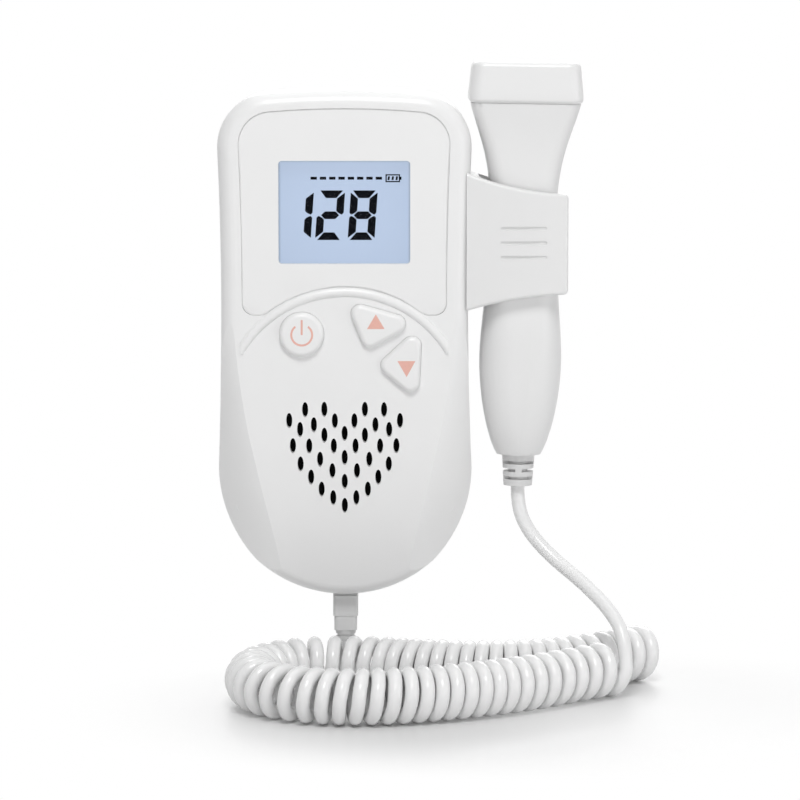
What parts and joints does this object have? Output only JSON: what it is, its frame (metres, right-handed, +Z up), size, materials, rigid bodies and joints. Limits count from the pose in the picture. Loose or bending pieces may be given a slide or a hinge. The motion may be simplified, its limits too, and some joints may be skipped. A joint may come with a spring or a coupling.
{
  "type": "fetal doppler monitor",
  "caption": "Handheld heartbeat monitor with a small display, shaped push buttons, a heart of speaker holes, a side clip with a lift-out probe and a curly cord.",
  "frame": {"origin": "on the flat back face, at the centre of the unit's half-round lower end", "axes": "+Z up along the unit, +X towards the probe's clip, +Y out of the back face; the front looks along -Y"},
  "size_m": [0.1236, 0.0862, 0.1744],
  "materials": {
    "case_white": "gloss",
    "probe_white": "gloss",
    "cord_white": "gloss",
    "window_clear": "clear",
    "display_blue": "clear",
    "light_guide": "satin",
    "board_green": "satin",
    "steel": "brushed",
    "contact_brass": "polished",
    "black_plastic": "matte",
    "grille_cloth": "woven",
    "cone_paper": "matte",
    "plug_grey": "satin",
    "cell_jacket": "gloss",
    "crystal": "matte",
    "backing_block": "matte"
  },
  "bodies": {
    "housing": {"front_shell": "case_white", "rear_shell": "case_white", "screen_panel": "case_white", "lcd_lens": "window_clear", "lcd_glass": "display_blue", "lcd_backlight": "light_guide", "circuit_board": "board_green", "board_screws": "steel", "case_screws": "steel", "tact_switches": "black_plastic", "grille_cloth": "grille_cloth", "speaker_frame": "steel", "speaker_cone": "cone_paper", "speaker_magnet": "steel", "battery_cells": "cell_jacket", "battery_contacts": "steel", "battery_springs": "steel", "headphone_jack": "black_plastic", "probe_socket": "black_plastic", "socket_contacts": "contact_brass", "plug_nose": "plug_grey", "plug_contacts": "contact_brass", "plug_overmould": "plug_grey", "plug_boot": "plug_grey", "holder_screws": "steel", "probe_holder": "case_white", "curly_coil": "cord_white", "plug_lead": "cord_white", "probe_lead": "cord_white"},
    "power_button": {"power_button": "case_white"},
    "volume_up_button": {"volume_up_button": "case_white"},
    "volume_down_button": {"volume_down_button": "case_white"},
    "battery_door": {"battery_door": "case_white"},
    "probe": {"probe_front_shell": "probe_white", "probe_rear_shell": "probe_white", "probe_head_cap": "probe_white", "transducer_crystals": "crystal", "transducer_backing": "backing_block", "probe_board": "board_green", "probe_screws": "steel", "probe_strain_relief": "probe_white"}
  },
  "joints": [
    {"name": "power_press", "type": "slide", "parent": "housing", "child": "power_button", "axis": [0, 1, 0], "range_m": [0, 0.0008], "stiffness_N_per_m": 200},
    {"name": "volume_up_press", "type": "slide", "parent": "housing", "child": "volume_up_button", "axis": [0, 1, 0], "range_m": [0, 0.0008], "stiffness_N_per_m": 200},
    {"name": "volume_down_press", "type": "slide", "parent": "housing", "child": "volume_down_button", "axis": [0, 1, 0], "range_m": [0, 0.0008], "stiffness_N_per_m": 200},
    {"name": "battery_door_hinge", "type": "hinge", "parent": "housing", "child": "battery_door", "pos_m": [0, 0, 0.0856], "axis": [1, 0, 0], "range_deg": [0, 50]},
    {"name": "probe_slide", "type": "slide", "parent": "housing", "child": "probe", "axis": [1, 0, 0], "range_m": [0, 0.035], "deforming": ["probe_lead"]}
  ]
}
